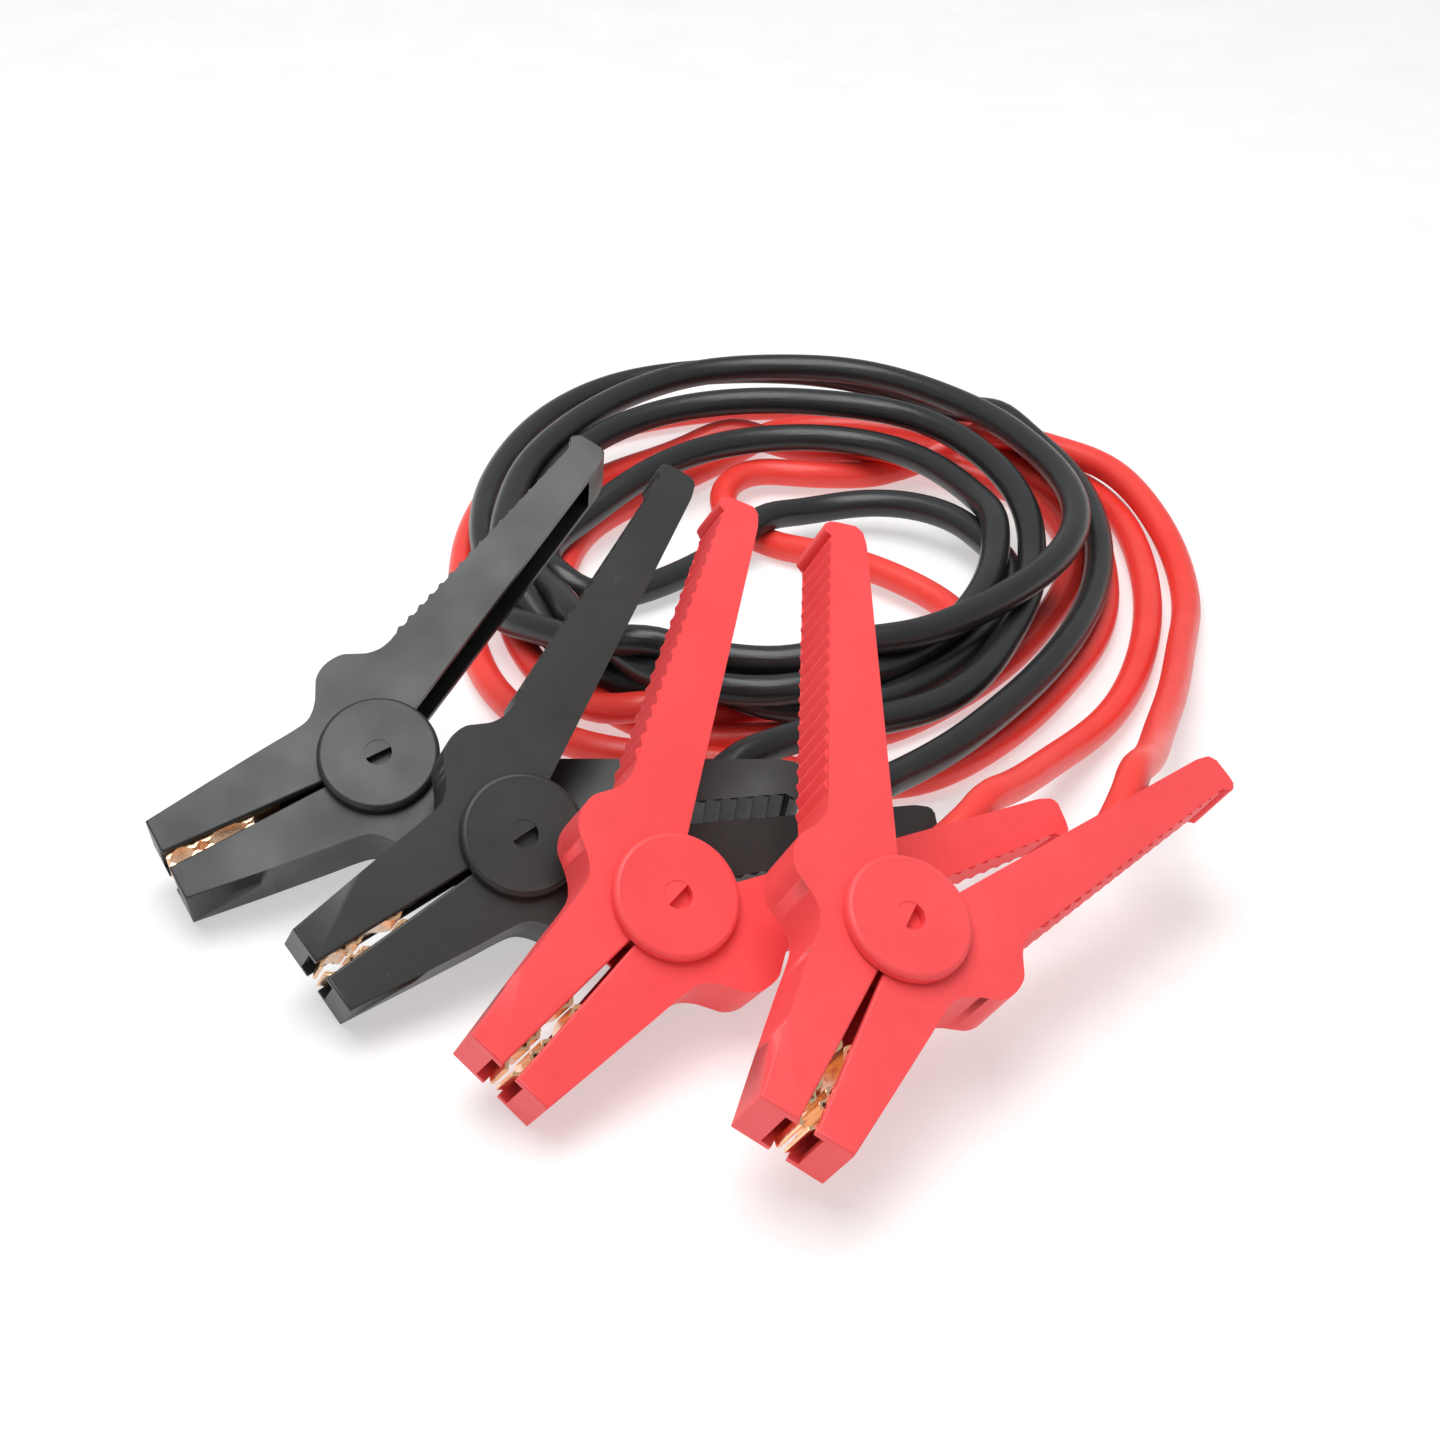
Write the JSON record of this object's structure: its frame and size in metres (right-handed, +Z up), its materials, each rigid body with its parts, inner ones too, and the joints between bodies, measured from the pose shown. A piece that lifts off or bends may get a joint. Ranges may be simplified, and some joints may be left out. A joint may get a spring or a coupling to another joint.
{
  "type": "car jumper cable set",
  "caption": "Booster cable set: a red and a black lead in one loose coil, with an insulated, sprung clamp at each end.",
  "frame": {"origin": "on the floor, under the middle of the four clamps", "axes": "+X to the right across the row of clamps, +Y from the clamps' noses back to the coil, +Z up"},
  "size_m": [0.3319, 0.4707, 0.1101],
  "materials": {
    "black_plastic": "moulded, fine grain",
    "red_plastic": "moulded, fine grain, slightly satin",
    "copper": "copper-coated steel sheet, bright",
    "steel": "spring wire, plain",
    "black_cable": "soft PVC sheath, satin",
    "red_cable": "soft PVC sheath, satin"
  },
  "bodies": {
    "root": {"clamp_1_cable_half": "black_plastic", "clamp_1_cable_plate": "copper", "clamp_1_pivot": "black_plastic", "clamp_1_back_disc": "black_plastic", "clamp_1_spring": "steel", "clamp_2_cable_half": "black_plastic", "clamp_2_cable_plate": "copper", "clamp_2_pivot": "black_plastic", "clamp_2_back_disc": "black_plastic", "clamp_2_spring": "steel", "clamp_3_cable_half": "red_plastic", "clamp_3_cable_plate": "copper", "clamp_3_pivot": "red_plastic", "clamp_3_back_disc": "red_plastic", "clamp_3_spring": "steel", "clamp_4_cable_half": "red_plastic", "clamp_4_cable_plate": "copper", "clamp_4_pivot": "red_plastic", "clamp_4_back_disc": "red_plastic", "clamp_4_spring": "steel", "black_lead_1": "black_cable", "black_lead_2": "black_cable", "red_lead_3": "red_cable", "red_lead_4": "red_cable", "red_coil": "red_cable", "black_coil": "black_cable"},
    "clamp_1_free": {"clamp_1_free_half": "black_plastic", "clamp_1_free_plate": "copper"},
    "clamp_2_free": {"clamp_2_free_half": "black_plastic", "clamp_2_free_plate": "copper"},
    "clamp_3_free": {"clamp_3_free_half": "red_plastic", "clamp_3_free_plate": "copper"},
    "clamp_4_free": {"clamp_4_free_half": "red_plastic", "clamp_4_free_plate": "copper"}
  },
  "joints": [
    {"name": "clamp_1_hinge", "type": "hinge", "parent": "root", "child": "clamp_1_free", "pos_m": [-0.08997, 0.03197, 0.0302], "axis": [-0.067, 0.5467, -0.8347], "range_deg": [0, 30], "stiffness_Nm_per_rad": 4, "springref_deg": -8.59},
    {"name": "clamp_2_hinge", "type": "hinge", "parent": "root", "child": "clamp_2_free", "pos_m": [-0.04782, -0.00761, 0.03118], "axis": [-0.2723, 0.6189, -0.7368], "range_deg": [0, 30], "stiffness_Nm_per_rad": 4, "springref_deg": -8.59},
    {"name": "clamp_3_hinge", "type": "hinge", "parent": "root", "child": "clamp_3_free", "pos_m": [-0.00578, -0.04068, 0.03336], "axis": [-0.3382, 0.5419, -0.7694], "range_deg": [0, 30], "stiffness_Nm_per_rad": 4, "springref_deg": -8.59},
    {"name": "clamp_4_hinge", "type": "hinge", "parent": "root", "child": "clamp_4_free", "pos_m": [0.05365, -0.0653, 0.04249], "axis": [-0.375, 0.4001, -0.8363], "range_deg": [0, 30], "stiffness_Nm_per_rad": 4, "springref_deg": -8.59}
  ]
}
